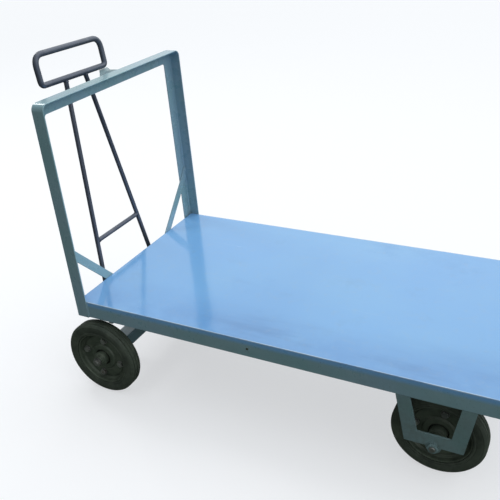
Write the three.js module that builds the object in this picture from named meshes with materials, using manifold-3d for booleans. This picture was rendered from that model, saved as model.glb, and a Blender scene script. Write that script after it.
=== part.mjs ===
// A four-wheel platform trolley for baggage, pulled by a hinged tow bar that parks upright.
// Millimetres, +Z up. +X runs from the tow bar to the rear and +Y runs across the deck.
// It travels towards -X, so its left side is at -Y.
// While it is built, the origin is on the floor below the middle of the deck's front edge.
// At the end the whole trolley moves, so that the origin is the bottom centre of its box.

import * as THREE from "three";
import { mergeVertices } from "three/addons/utils/BufferGeometryUtils.js";
import Module from "manifold-3d";

const wasm = await Module();
wasm.setup();

// Driving dimensions
const GAP = 0.3; // between pieces that touch
const DECK_LENGTH = 1600;
const DECK_WIDTH = 800;
const DECK_HEIGHT = 385; // the deck's top above the floor
const SHEET = 3;
const RAIL_DEPTH = 66; // the deck's edge, sheet included
const RAIL_LEG = 40;
const STEEL = 5; // thickness of the rails, the hoop and the braces

const HOOP_RISE = 742; // the hoop's top above the deck
const HOOP_LEG = 50;
const HOOP_CORNER = 25;
const WINDOW_CORNER = 10;
const BRACE_RISE = 158; // above the deck, where a brace meets the hoop's flange
const BRACE_FOOT = 210; // from the middle of the deck to a brace, level with the deck
const BRACE_WIDTH = 32;

const WHEEL_RADIUS = 150;
const TYRE_WIDTH = 58;
const RIM_RADIUS = 108;
const BOLT_CIRCLE = 77;
const FIRST_BOLT = THREE.MathUtils.degToRad(78);
const AXLE_RADIUS = 10;
const BORE_RADIUS = 10.6;
const FRONT_AXLE_X = 70;
const FRONT_WHEEL_Y = 396;
const REAR_AXLE_X = 1324;
const REAR_WHEEL_Y = 321;

const BEAM_WIDTH = 60; // the front axle beam
const BEAM_DEPTH = 52;
const BEAM_Z = 146;
const BEAM_HALF = 350; // half its length
const TURNTABLE_RADIUS = 70;

const PIVOT_X = -60; // the tow bar's hinge
const BAR_LEAN = THREE.MathUtils.degToRad(6.36);
const BAR_HALF_SPAN = 179; // between the middle plane and a rod, at the hinge
const BAR_TAPER = 0.1278; // how fast the rods close in
const ROD_RADIUS = 9;
const GRIP_RADIUS = 11;
const CROSSBAR_AT = 967; // along the bar from the hinge, as the loop's top and the rung are
const LOOP_TOP_AT = 1074;
const LOOP_CORNER = 42;
const GRIP_HALF = 180; // from the middle plane to the loop's leg
const RUNG_AT = 339;

// Levels and places that follow from them
const RAIL_TOP = DECK_HEIGHT - SHEET - GAP;
const RAIL_BOTTOM = DECK_HEIGHT - RAIL_DEPTH;
const HALF_WIDTH = DECK_WIDTH / 2;
const HOOP_HALF = HALF_WIDTH + GAP + STEEL;
const HOOP_TOP = DECK_HEIGHT + HOOP_RISE;
const BRACE_X = -GAP - STEEL; // the braces lie between the deck's end and the hoop
const HOOP_BACK = BRACE_X - GAP - STEEL; // X of the hoop's outer face
const AXLE_Z = WHEEL_RADIUS;

const FINISHES = {
  deck: { color: 0x7fb4e3, roughness: 0.25, metalness: 0.1 },
  frame: { color: 0x5d7f95, roughness: 0.35, metalness: 0.2 },
  gunmetal: { color: 0x2f4157, roughness: 0.4, metalness: 0.5 },
  rubber: { color: 0x23271f, roughness: 0.85, metalness: 0 },
  wheel: { color: 0x2b3330, roughness: 0.5, metalness: 0.4 },
  zinc: { color: 0x8a8f92, roughness: 0.4, metalness: 0.9 },
};

// Both sides of the trolley. The right side's copies turn half round, so that they face outwards.
const SIDES = [
  { name: "left", sign: -1, turn: 0 },
  { name: "right", sign: 1, turn: Math.PI },
];

function part(name, geometry, finish, position = [0, 0, 0], rotation = [0, 0, 0]) {
  const mesh = new THREE.Mesh(geometry, new THREE.MeshStandardMaterial(FINISHES[finish]));
  mesh.name = name;
  mesh.position.set(...position);
  mesh.rotation.set(...rotation);
  return mesh;
}

function groupOf(parts, position = [0, 0, 0], rotation = [0, 0, 0]) {
  const group = new THREE.Group();
  group.add(...parts);
  group.position.set(...position);
  group.rotation.set(...rotation);
  return group;
}

// Solids: joining and cutting closed geometries

function toSolid(geometry) {
  const bare = geometry.clone();
  bare.deleteAttribute("normal");
  bare.deleteAttribute("uv");
  const merged = mergeVertices(bare, 1e-4);
  return new wasm.Manifold(
    new wasm.Mesh({
      numProp: 3,
      vertProperties: merged.attributes.position.array,
      triVerts: new Uint32Array(merged.index.array),
    }),
  );
}

function toGeometry(solid) {
  const mesh = solid.getMesh();
  const geometry = new THREE.BufferGeometry();
  geometry.setAttribute("position", new THREE.BufferAttribute(mesh.vertProperties, 3));
  geometry.setIndex(new THREE.BufferAttribute(mesh.triVerts, 1));
  geometry.computeVertexNormals();
  return geometry;
}

function join(...geometries) {
  return toGeometry(geometries.map(toSolid).reduce((all, next) => all.add(next)));
}

function cut(geometry, ...tools) {
  return toGeometry(tools.map(toSolid).reduce((left, tool) => left.subtract(tool), toSolid(geometry)));
}

function common(a, b) {
  return toGeometry(toSolid(a).intersect(toSolid(b)));
}

// Shapes

function block([x0, x1], [y0, y1], [z0, z1]) {
  const box = new THREE.BoxGeometry(x1 - x0, y1 - y0, z1 - z0);
  return box.translate((x0 + x1) / 2, (y0 + y1) / 2, (z0 + z1) / 2);
}

function outline(points) {
  return new THREE.Shape(points.map(([u, v]) => new THREE.Vector2(u, v)));
}

function extrude(shape, depth, curveSegments = 6) {
  return new THREE.ExtrudeGeometry(shape, { depth, bevelEnabled: false, curveSegments });
}

const X_AXIS = new THREE.Vector3(1, 0, 0);
const Y_AXIS = new THREE.Vector3(0, 1, 0);
const Z_AXIS = new THREE.Vector3(0, 0, 1);

// A shape drawn in Y and Z, between two values of X.
function plateX(shape, [x0, x1], curveSegments) {
  const turn = new THREE.Matrix4().makeBasis(Y_AXIS, Z_AXIS, X_AXIS);
  return extrude(shape, x1 - x0, curveSegments).applyMatrix4(turn).translate(x0, 0, 0);
}

// A shape drawn in X and Z, between two values of Y.
function plateY(shape, [y0, y1], curveSegments) {
  const turn = new THREE.Matrix4().makeBasis(X_AXIS, Z_AXIS, Y_AXIS.clone().negate());
  return extrude(shape, y1 - y0, curveSegments).applyMatrix4(turn).translate(0, y1, 0);
}

// A shape drawn in X and Y, between two values of Z.
function plateZ(shape, [z0, z1], curveSegments) {
  return extrude(shape, z1 - z0, curveSegments).translate(0, 0, z0);
}

// A profile of [radius, y] turned about the Y axis. It closes on itself.
function turned(profile, segments) {
  const points = [...profile, profile[0]].map(([r, y]) => new THREE.Vector2(r, y));
  return new THREE.LatheGeometry(points, segments);
}

function bar(radius, [y0, y1], segments = 16) {
  return new THREE.CylinderGeometry(radius, radius, y1 - y0, segments).translate(0, (y0 + y1) / 2, 0);
}

function ring(outer, inner, [y0, y1], segments = 16) {
  return turned([[inner, y0], [outer, y0], [outer, y1], [inner, y1]], segments);
}

// A hexagonal nut about the Y axis.
function nut(acrossFlats, bore, [y0, y1]) {
  const corner = acrossFlats / Math.sqrt(3);
  const hexagon = new THREE.Shape();
  for (let i = 0; i < 6; i++) {
    const angle = (i * Math.PI) / 3;
    hexagon[i ? "lineTo" : "moveTo"](corner * Math.cos(angle), corner * Math.sin(angle));
  }
  hexagon.closePath();
  if (bore) {
    hexagon.holes.push(new THREE.Path().absarc(0, 0, bore, 0, 2 * Math.PI, true));
  }
  return plateY(hexagon, [y0, y1], 8);
}

// Deck

function deckSheet() {
  const sheet = new THREE.BoxGeometry(DECK_LENGTH, DECK_WIDTH, SHEET);
  return part("deck_sheet", sheet, "deck", [DECK_LENGTH / 2, 0, DECK_HEIGHT - SHEET / 2]);
}

// An angle on edge: its upright leg is the deck's side, and its foot points inwards.
function sideRail({ name, sign, turn }) {
  const halfLength = DECK_LENGTH / 2 - STEEL - GAP;
  const upright = block([-halfLength, halfLength], [0, STEEL], [RAIL_BOTTOM, RAIL_TOP]);
  const foot = block([-halfLength, halfLength], [1, RAIL_LEG], [RAIL_BOTTOM, RAIL_BOTTOM + STEEL]);
  const place = [DECK_LENGTH / 2, sign * HALF_WIDTH, 0];
  return part("side_rail_" + name, join(upright, foot), "frame", place, [0, 0, turn]);
}

function endRail(name, x, turn) {
  const footHalf = HALF_WIDTH - RAIL_LEG - GAP;
  const upright = block([0, STEEL], [-HALF_WIDTH, HALF_WIDTH], [RAIL_BOTTOM, RAIL_TOP]);
  const foot = block([1, RAIL_LEG], [-footHalf, footHalf], [RAIL_BOTTOM, RAIL_BOTTOM + STEEL]);
  return part(name, join(upright, foot), "frame", [x, 0, 0], [0, 0, turn]);
}

// A channel across the deck, resting on the feet of the side rails.
function channel(name, x, width, webAtBottom, tools = []) {
  const half = HALF_WIDTH - STEEL - GAP;
  const low = RAIL_BOTTOM + STEEL + GAP;
  const solid = block([-width / 2, width / 2], [-half, half], [low, RAIL_TOP]);
  const inside = width / 2 - STEEL;
  const hollow = webAtBottom ? [low + STEEL, RAIL_TOP + 1] : [low - 1, RAIL_TOP - STEEL];
  const trough = block([-inside, inside], [-half - 1, half + 1], hollow);
  return part(name, cut(solid, trough, ...tools), "frame", [x, 0, 0]);
}

const MEMBER_WIDTH = 60;
const FIRST_MEMBER_X = 430;
const MEMBER_PITCH = 360;

function crossMembers() {
  const names = ["front", "middle", "rear"];
  return names.map((name, i) =>
    channel("cross_member_" + name, FIRST_MEMBER_X + MEMBER_PITCH * i, MEMBER_WIDTH, false),
  );
}

// End hoop: one bent angle, with braces and the catch for the parked bar

// A portal drawn in Y and Z, with rounded top corners.
function portal(half, top, radius) {
  const arch = new THREE.Shape();
  arch.moveTo(half, RAIL_BOTTOM);
  arch.lineTo(half, top - radius);
  arch.absarc(half - radius, top - radius, radius, 0, Math.PI / 2, false);
  arch.lineTo(radius - half, top);
  arch.absarc(radius - half, top - radius, radius, Math.PI / 2, Math.PI, false);
  arch.lineTo(-half, RAIL_BOTTOM);
  arch.closePath();
  return arch;
}

// A layer of the hoop: a portal, less the same portal drawn a width further in.
function hoopLayer(width, [x0, x1]) {
  const innerRadius = Math.max(HOOP_CORNER - width, WINDOW_CORNER);
  const beyond = [x0 - 1, x1 + 1];
  const outer = plateX(portal(HOOP_HALF, HOOP_TOP, HOOP_CORNER), [x0, x1]);
  const inner = plateX(portal(HOOP_HALF - width, HOOP_TOP - width, innerRadius), beyond);
  const foot = block(beyond, [width - HOOP_HALF, HOOP_HALF - width], [0, RAIL_BOTTOM + 1]);
  return cut(outer, inner, foot);
}

function endHoop() {
  const backFlange = hoopLayer(HOOP_LEG, [HOOP_BACK, HOOP_BACK + STEEL]);
  const sideFlange = hoopLayer(STEEL, [HOOP_BACK + 1, HOOP_BACK + HOOP_LEG]);
  return part("end_hoop", join(backFlange, sideFlange), "frame");
}

// A flat bar from the end rail's face up to the hoop's flange, cut upright at its head.
function brace({ name, sign }) {
  const slope = BRACE_RISE / (HOOP_HALF - HOOP_LEG - BRACE_FOOT);
  const halfHeight = (BRACE_WIDTH / 2) * Math.hypot(1, slope);
  const head = HOOP_HALF - STEEL - GAP;
  const headRise = slope * (head - BRACE_FOOT);
  const sunk = STEEL - RAIL_DEPTH / 2;
  const footMiddle = BRACE_FOOT + sunk / slope;
  const footHalf = halfHeight / slope;
  const strip = outline([
    [sign * (footMiddle - footHalf), sunk],
    [sign * (footMiddle + footHalf), sunk],
    [sign * head, headRise - halfHeight],
    [sign * head, headRise + halfHeight],
  ]);
  const flat = plateX(strip, [BRACE_X, BRACE_X + STEEL]);
  return part("hoop_brace_" + name, flat, "frame", [0, 0, DECK_HEIGHT]);
}

const CATCH_KNEE_X = -125;
const CATCH_TIP_X = -171;
const CATCH_ROOT = [-45, 62]; // across the hoop's top bar
const CATCH_TIP = [145, 195];
const SEAT_FALL = 0.8; // from the knee to the tip

// A bent plate from the hoop's top bar to a seat below the right end of the handle's crossbar.
function parkingCatch() {
  const root = HOOP_BACK - GAP;
  const rootZ = HOOP_TOP - 0.5;
  const crossbarZ = AXLE_Z + CROSSBAR_AT * Math.cos(BAR_LEAN);
  const seatZ = crossbarZ - GRIP_RADIUS - 1;
  const top = [[root, rootZ], [CATCH_KNEE_X, seatZ], [CATCH_TIP_X, seatZ - SEAT_FALL]];
  const underside = top.map(([x, z]) => [x, z - STEEL]).reverse();
  const bent = plateY(outline([...top, ...underside]), [CATCH_ROOT[0] - 1, CATCH_TIP[1] + 1]);
  const plan = outline([
    [root, CATCH_ROOT[0]],
    [root, CATCH_ROOT[1]],
    [CATCH_TIP_X, CATCH_TIP[1]],
    [CATCH_TIP_X, CATCH_TIP[0]],
  ]);
  const prism = plateZ(plan, [seatZ - 2 * STEEL, rootZ + STEEL]);
  return part("parking_catch", common(bent, prism), "deck");
}

// Wheels. The outer side of a wheel faces -Y in its own frame.

const WHEEL_SEGMENTS = 28;

const SHOULDER = 9;

function tyre() {
  const half = TYRE_WIDTH / 2;
  const side = [[RIM_RADIUS, -half + 2], [RIM_RADIUS + 12, -half], [WHEEL_RADIUS - SHOULDER, -half]];
  const lower = [...side, [WHEEL_RADIUS, -half + SHOULDER]];
  const upper = lower.map(([r, y]) => [r, -y]).reverse();
  return turned([...lower, ...upper], WHEEL_SEGMENTS);
}

const WEB = [-4, 4]; // the disc's web, across the wheel
const RIM_HALF = TYRE_WIDTH / 2 - 4;
const RIM_THICK = 5;
const BARREL_RADIUS = 28; // the hub's
const HUB_RADIUS = 20; // its ends
const HUB_FLANGE = [WEB[1] + GAP, WEB[1] + GAP + 6];
const HUB_FLANGE_RADIUS = 92;
const BOLT_HEAD = { acrossFlats: 22, height: 8 };

function wheelDisc() {
  const outer = RIM_RADIUS - GAP;
  const inner = outer - RIM_THICK;
  const hole = BARREL_RADIUS + 3;
  const profile = [
    [outer, -RIM_HALF],
    [outer, RIM_HALF],
    [inner, RIM_HALF],
    [inner, WEB[1]],
    [hole, WEB[1]],
    [hole, WEB[0]],
    [inner - 2, WEB[0]],
    [inner, -RIM_HALF],
  ];
  const bolts = [0, 1, 2, 3].map((i) => {
    const angle = FIRST_BOLT + (i * Math.PI) / 2;
    const bolt = nut(BOLT_HEAD.acrossFlats, 0, [WEB[0] - BOLT_HEAD.height, WEB[0] + 1]);
    return bolt.translate(BOLT_CIRCLE * Math.cos(angle), 0, BOLT_CIRCLE * Math.sin(angle));
  });
  return join(turned(profile, WHEEL_SEGMENTS), ...bolts);
}

// A hub from y0 to y1. Its flange lies against the inner side of the disc's web.
function hub([y0, y1]) {
  const profile = [
    [BORE_RADIUS, y0],
    [HUB_RADIUS, y0],
    [HUB_RADIUS, -34],
    [BARREL_RADIUS, -30],
    [BARREL_RADIUS, HUB_FLANGE[0]],
    [HUB_FLANGE_RADIUS, HUB_FLANGE[0]],
    [HUB_FLANGE_RADIUS, HUB_FLANGE[1]],
    [BARREL_RADIUS, HUB_FLANGE[1]],
    [BARREL_RADIUS, 32],
    [HUB_RADIUS, 36],
    [HUB_RADIUS, y1],
    [BORE_RADIUS, y1],
  ];
  return turned(profile, 16);
}

const FRONT_HUB = [-42, 41.5];
const REAR_HUB = [-72, 72];

function wheel(name, hubSpan, position, turn) {
  const parts = [
    part("tyre_" + name, tyre(), "rubber"),
    part("wheel_disc_" + name, wheelDisc(), "wheel"),
    part("hub_" + name, hub(hubSpan), "wheel"),
  ];
  return groupOf(parts, position, [0, 0, turn]);
}

// Rear forks. Each is drawn about its axle with its outer side facing -Y.

const FORK_THICK = 6;
const FORK_TOP = RAIL_BOTTOM - GAP - AXLE_Z;
const FORK_OUT = REAR_WHEEL_Y - HALF_WIDTH; // Y of the outer plate's outer face
const FORK_IN = -FORK_OUT; // Y of the inner cheek's outer face
const FORK_HALF = { top: 120, bottom: 90 };
const FORK_WINDOW = { top: 76, bottom: 52, sill: 46 };
const FORK_LUG = 24; // radius
const AXLE_HEAD = 30; // across the flats of each axle's head and nut

// A trapezoid hanger with a window, and a round lug about the axle.
function hanger(top) {
  const shape = new THREE.Shape();
  shape.moveTo(-FORK_HALF.top, top);
  shape.lineTo(-FORK_HALF.bottom, 0);
  shape.lineTo(-FORK_LUG, 0);
  shape.absarc(0, 0, FORK_LUG, Math.PI, 2 * Math.PI, false);
  shape.lineTo(FORK_HALF.bottom, 0);
  shape.lineTo(FORK_HALF.top, top);
  shape.lineTo(FORK_WINDOW.top, top);
  shape.lineTo(FORK_WINDOW.bottom, FORK_WINDOW.sill);
  shape.lineTo(-FORK_WINDOW.bottom, FORK_WINDOW.sill);
  shape.lineTo(-FORK_WINDOW.top, top);
  shape.closePath();
  shape.holes.push(new THREE.Path().absarc(0, 0, AXLE_RADIUS + GAP, 0, 2 * Math.PI, true));
  return shape;
}

// The outer plate, the inner cheek with its crown under the deck, and the axle between them.
function rearFork({ name, sign, turn }) {
  const plate = plateY(hanger(FORK_TOP), [FORK_OUT, FORK_OUT + FORK_THICK], 8);
  const cheek = plateY(hanger(FORK_TOP - 1), [FORK_IN - FORK_THICK, FORK_IN], 8);
  const crownSpan = [FORK_OUT + FORK_THICK + GAP, FORK_IN];
  const crownTop = [FORK_TOP - FORK_THICK, FORK_TOP];
  const crown = block([-FORK_HALF.top, FORK_HALF.top], crownSpan, crownTop);
  const shank = bar(AXLE_RADIUS, [FORK_OUT - 16, FORK_IN + 1]);
  const axle = join(shank, nut(AXLE_HEAD, 0, [FORK_IN + GAP, FORK_IN + 12]));
  const axleNut = nut(AXLE_HEAD, AXLE_RADIUS + GAP, [FORK_OUT - 12, FORK_OUT - GAP]);
  const parts = [
    part("rear_fork_plate_" + name, plate, "frame"),
    part("rear_fork_bracket_" + name, join(cheek, crown), "frame"),
    part("rear_axle_" + name, axle, "zinc"),
    part("rear_axle_nut_" + name, axleNut, "zinc"),
  ];
  return groupOf(parts, [REAR_AXLE_X, sign * REAR_WHEEL_Y, AXLE_Z], [0, 0, turn]);
}

// Turntable and front truck. The stack below the bolster is turned about the kingpin.

const UPPER_PLATE = [RAIL_BOTTOM - 9, RAIL_BOTTOM - GAP];
const BOLSTER_PAD = 28; // radius of the boss that reaches up to the bolster, past the end rail's foot
const RACE = [UPPER_PLATE[0] - GAP - 12, UPPER_PLATE[0] - GAP];
const RACE_RADII = [TURNTABLE_RADIUS - 3, TURNTABLE_RADIUS - 24];
const LOWER_PLATE = [RACE[0] - GAP - 8, RACE[0] - GAP];
const BOLSTER_WIDTH = 90;
const KINGPIN_RADIUS = 12;
const KINGPIN_BORE = KINGPIN_RADIUS + GAP;
const KINGPIN_HEAD = { acrossFlats: 36, height: 14 };

// A Y-axis piece stood up on the kingpin's axis.
function upright(geometry) {
  return geometry.rotateX(Math.PI / 2);
}

function upperPlate() {
  const profile = [
    [KINGPIN_BORE, UPPER_PLATE[1] + STEEL],
    [BOLSTER_PAD, UPPER_PLATE[1] + STEEL],
    [BOLSTER_PAD, UPPER_PLATE[1]],
    [TURNTABLE_RADIUS, UPPER_PLATE[1]],
    [TURNTABLE_RADIUS, UPPER_PLATE[0]],
    [KINGPIN_BORE, UPPER_PLATE[0]],
  ];
  return upright(turned(profile.reverse(), 24));
}

function turntableTop() {
  const hole = upright(bar(KINGPIN_BORE, [0, DECK_HEIGHT]));
  const headZ = RAIL_BOTTOM + 2 * STEEL + 2 * GAP;
  const { acrossFlats, height } = KINGPIN_HEAD;
  const shank = upright(bar(KINGPIN_RADIUS, [LOWER_PLATE[0] - 22, headZ + 1]));
  const head = upright(nut(acrossFlats, 0, [headZ, headZ + height]));
  const pinNut = upright(nut(acrossFlats, KINGPIN_BORE, [LOWER_PLATE[0] - 16, LOWER_PLATE[0] - GAP]));
  return [
    channel("turntable_bolster", FRONT_AXLE_X, BOLSTER_WIDTH, true, [hole]),
    part("turntable_upper_plate", upperPlate(), "frame", [FRONT_AXLE_X, 0, 0]),
    part("kingpin", join(shank, head), "zinc", [FRONT_AXLE_X, 0, 0]),
    part("kingpin_nut", pinNut, "zinc", [FRONT_AXLE_X, 0, 0]),
  ];
}

const STAND_THICK = 8;
const STAND_HALF = { top: 60, bottom: 90 };

// A plate welded to the face of the beam, up to the lower plate.
function axleStand(name, x0) {
  const foot = BEAM_Z - BEAM_DEPTH / 2 + 4;
  const head = LOWER_PLATE[0] - GAP;
  const { top, bottom } = STAND_HALF;
  const plate = outline([[-bottom, foot], [bottom, foot], [top, head], [-top, head]]);
  return part("axle_stand_" + name, plateX(plate, [x0, x0 + STAND_THICK]), "gunmetal");
}

const STUB_COLLAR = 18; // radius of the collar against the beam's end
const STUB_END = -56;
const STUB_NUT = [-54, -43];

function stubAxle({ name, sign, turn }) {
  const root = FRONT_WHEEL_Y - BEAM_HALF - GAP;
  const profile = [
    [0, STUB_END],
    [AXLE_RADIUS, STUB_END],
    [AXLE_RADIUS, root - 4],
    [STUB_COLLAR, root - 4],
    [STUB_COLLAR, root],
    [0, root],
  ];
  const parts = [
    part("stub_axle_" + name, turned(profile, 16), "zinc"),
    part("stub_axle_nut_" + name, nut(AXLE_HEAD, AXLE_RADIUS + GAP, STUB_NUT), "zinc"),
  ];
  return groupOf(parts, [0, sign * FRONT_WHEEL_Y, AXLE_Z], [0, 0, turn]);
}

const ARM_Y = [BAR_HALF_SPAN - 25, BAR_HALF_SPAN - 15];
const ARM_NOSE = 18; // radius of an arm's rounded end
const ARM_ROOT = [-26, 18]; // an arm's lower and upper edge at the beam, about the axle's height
const PIN_RADIUS = 8;

// Two flat arms reach forward from the beam, each with a hinge pin for an eye of the tow bar.
function towArm({ name, sign }) {
  const reach = PIVOT_X - FRONT_AXLE_X;
  const root = -BEAM_WIDTH / 2 - GAP;
  const shape = new THREE.Shape();
  shape.moveTo(root, AXLE_Z + ARM_ROOT[1]);
  shape.lineTo(reach, AXLE_Z + ARM_NOSE);
  shape.absarc(reach, AXLE_Z, ARM_NOSE, Math.PI / 2, 1.5 * Math.PI, false);
  shape.lineTo(root, AXLE_Z + ARM_ROOT[0]);
  shape.closePath();
  shape.holes.push(new THREE.Path().absarc(reach, AXLE_Z, PIN_RADIUS + GAP, 0, 2 * Math.PI, true));
  const span = ARM_Y.map((y) => sign * y).sort((a, b) => a - b);
  return part("tow_arm_" + name, plateY(shape, span, 8), "gunmetal");
}

const PIN_HEAD = { radius: 13, height: 7 };
const PIN_WASHER = { radius: 12, height: 8 };

// The pin's head is inside the arm, and its washer end is outside the eye.
function towPin({ name, turn }) {
  const inner = -ARM_Y[0] + GAP;
  const outer = -BAR_HALF_SPAN - EYE_HALF - 1;
  const profile = [
    [0, outer - PIN_WASHER.height],
    [PIN_WASHER.radius, outer - PIN_WASHER.height],
    [PIN_WASHER.radius, outer],
    [PIN_RADIUS, outer],
    [PIN_RADIUS, inner],
    [PIN_HEAD.radius, inner],
    [PIN_HEAD.radius, inner + PIN_HEAD.height],
    [0, inner + PIN_HEAD.height],
  ];
  const place = [PIVOT_X - FRONT_AXLE_X, 0, AXLE_Z];
  return part("tow_pin_" + name, turned(profile, 16), "zinc", place, [0, 0, turn]);
}

function frontTruck() {
  const beam = new THREE.BoxGeometry(BEAM_WIDTH, 2 * BEAM_HALF, BEAM_DEPTH);
  const race = upright(ring(...RACE_RADII, RACE, 24));
  const plate = upright(ring(TURNTABLE_RADIUS, KINGPIN_BORE, LOWER_PLATE, 24));
  const frame = [
    part("turntable_race", race, "zinc"),
    part("turntable_lower_plate", plate, "gunmetal"),
    part("front_axle_beam", beam, "gunmetal", [0, 0, BEAM_Z]),
    axleStand("front", -BEAM_WIDTH / 2 - GAP - STAND_THICK),
    axleStand("rear", BEAM_WIDTH / 2 + GAP),
  ];
  const pairs = SIDES.flatMap((side) => [stubAxle(side), towArm(side), towPin(side)]);
  const wheels = SIDES.map(({ name, sign, turn }) =>
    wheel("front_" + name, FRONT_HUB, [0, sign * FRONT_WHEEL_Y, AXLE_Z], turn),
  );
  return groupOf([...frame, ...pairs, ...wheels, towBar()], [FRONT_AXLE_X, 0, 0]);
}

// Tow bar, drawn standing on its hinge and then leaned forward.

const EYE_RADIUS = 17;
const EYE_HALF = 12; // half its length along the hinge
const EYE_BORE = PIN_RADIUS + 0.6;
const ROD_FOOT = 15; // where a rod starts, above the hinge
const ACROSS = 300; // longer than anything across the bar

function leaned(geometry, sign) {
  return geometry.applyMatrix4(new THREE.Matrix4().makeRotationX(sign * Math.atan(BAR_TAPER)));
}

function towRod({ name, sign }) {
  const rise = CROSSBAR_AT - ROD_FOOT;
  const rod = leaned(upright(bar(ROD_RADIUS, [0, Math.hypot(rise, rise * BAR_TAPER)])), sign);
  rod.translate(0, sign * (BAR_HALF_SPAN - ROD_FOOT * BAR_TAPER), ROD_FOOT);
  const eyeRoom = bar(EYE_RADIUS + GAP, [-ACROSS, ACROSS], 24);
  const crossbarRoom = bar(GRIP_RADIUS + GAP, [-ACROSS, ACROSS], 24).translate(0, 0, CROSSBAR_AT);
  return part("tow_rod_" + name, cut(rod, eyeRoom, crossbarRoom), "gunmetal");
}

function towEye({ name, sign }) {
  const eye = ring(EYE_RADIUS, EYE_BORE, [-EYE_HALF, EYE_HALF], 24);
  return part("tow_eye_" + name, eye, "gunmetal", [0, sign * BAR_HALF_SPAN, 0]);
}

// A cross bar between the rods, with its ends cut to fit round them.
function rung() {
  const half = BAR_HALF_SPAN - RUNG_AT * BAR_TAPER;
  const reach = 3 * ROD_RADIUS;
  const tools = [-1, 1].flatMap((sign) => {
    const room = leaned(upright(bar(ROD_RADIUS + GAP, [-2 * reach, 2 * reach])), sign);
    const beyond = block([-reach, reach], [0, reach], [-reach, reach]);
    return [room.translate(0, sign * half, 0), beyond.translate(0, sign > 0 ? half : -half - reach, 0)];
  });
  const round = cut(bar(ROD_RADIUS, [-half, half]), ...tools);
  return part("tow_bar_rung", round, "gunmetal", [0, 0, RUNG_AT]);
}

// A round bar bent in one plane: up, across and down, with rounded corners.
function loopPath() {
  const at = (y, z) => new THREE.Vector3(0, y, z);
  const legTop = LOOP_TOP_AT - LOOP_CORNER;
  const inner = GRIP_HALF - LOOP_CORNER;
  const path = new THREE.CurvePath();
  const corner = (from, bend, to) => path.add(new THREE.QuadraticBezierCurve3(from, bend, to));
  const straight = (from, to) => path.add(new THREE.LineCurve3(from, to));
  straight(at(-GRIP_HALF, CROSSBAR_AT), at(-GRIP_HALF, legTop));
  corner(at(-GRIP_HALF, legTop), at(-GRIP_HALF, LOOP_TOP_AT), at(-inner, LOOP_TOP_AT));
  straight(at(-inner, LOOP_TOP_AT), at(inner, LOOP_TOP_AT));
  corner(at(inner, LOOP_TOP_AT), at(GRIP_HALF, LOOP_TOP_AT), at(GRIP_HALF, legTop));
  straight(at(GRIP_HALF, legTop), at(GRIP_HALF, CROSSBAR_AT));
  return path;
}

function handle() {
  const end = GRIP_HALF + GRIP_RADIUS + 2;
  const reach = 3 * GRIP_RADIUS;
  const crossbar = bar(GRIP_RADIUS, [-end, end]).translate(0, 0, CROSSBAR_AT);
  const section = new THREE.Shape().absarc(0, 0, GRIP_RADIUS, 0, 2 * Math.PI, false);
  const options = { steps: 36, curveSegments: 6, extrudePath: loopPath() };
  const loop = new THREE.ExtrudeGeometry(section, options);
  const room = bar(GRIP_RADIUS + GAP, [-ACROSS, ACROSS]).translate(0, 0, CROSSBAR_AT);
  const below = block([-reach, reach], [-ACROSS, ACROSS], [CROSSBAR_AT - reach, CROSSBAR_AT]);
  return [
    part("handle_crossbar", crossbar, "gunmetal"),
    part("handle_loop", cut(loop, room, below), "gunmetal"),
  ];
}

function towBar() {
  const parts = [...SIDES.flatMap((side) => [towRod(side), towEye(side)]), rung(), ...handle()];
  return groupOf(parts, [PIVOT_X - FRONT_AXLE_X, 0, AXLE_Z], [0, -BAR_LEAN, 0]);
}

// Assembly

function chassis() {
  const frame = [
    deckSheet(),
    endRail("end_rail_front", 0, 0),
    endRail("end_rail_rear", DECK_LENGTH, Math.PI),
    ...crossMembers(),
    ...turntableTop(),
    endHoop(),
    parkingCatch(),
  ];
  const pairs = SIDES.flatMap((side) => [sideRail(side), brace(side), rearFork(side)]);
  const wheels = SIDES.map(({ name, sign, turn }) =>
    wheel("rear_" + name, REAR_HUB, [REAR_AXLE_X, sign * REAR_WHEEL_Y, AXLE_Z], turn),
  );
  return groupOf([...frame, ...pairs, ...wheels]);
}

const trolley = groupOf([chassis(), frontTruck()]);
const box = new THREE.Box3().setFromObject(trolley, true);
const middle = box.getCenter(new THREE.Vector3());
trolley.position.set(-middle.x, -middle.y, -box.min.z);
const group = groupOf([trolley]);

export default group;
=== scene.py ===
"""Looks for a four-wheel platform trolley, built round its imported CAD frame.

Shapes are drawn in millimetres and scaled to metres when a piece is made.
The row frame's +X is the rear, +Y the right side and +Z up. Its left side is the one seen.
"""

import math

import bmesh
import bpy
from mathutils import Matrix, Vector, noise


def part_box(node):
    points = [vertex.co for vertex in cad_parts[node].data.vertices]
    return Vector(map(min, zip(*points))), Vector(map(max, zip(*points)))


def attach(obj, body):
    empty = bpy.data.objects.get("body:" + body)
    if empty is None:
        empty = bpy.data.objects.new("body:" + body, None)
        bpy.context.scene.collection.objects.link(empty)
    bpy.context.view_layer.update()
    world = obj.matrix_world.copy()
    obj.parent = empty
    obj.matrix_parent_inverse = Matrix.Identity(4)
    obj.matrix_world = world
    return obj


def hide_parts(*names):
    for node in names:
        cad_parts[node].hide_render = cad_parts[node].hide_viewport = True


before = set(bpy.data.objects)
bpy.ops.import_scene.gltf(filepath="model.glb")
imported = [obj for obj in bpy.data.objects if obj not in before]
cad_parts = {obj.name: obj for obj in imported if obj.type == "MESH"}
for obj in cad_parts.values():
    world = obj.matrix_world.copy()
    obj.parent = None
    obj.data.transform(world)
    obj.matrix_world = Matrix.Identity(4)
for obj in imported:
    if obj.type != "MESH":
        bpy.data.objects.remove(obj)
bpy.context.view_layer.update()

MM = 0.001
SCENE = bpy.context.scene
SIDES = (("left", -1), ("right", 1))


def corners(node):
    """A CAD node's lowest and highest corner, in millimetres."""
    low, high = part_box(node)
    return low / MM, high / MM


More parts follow.
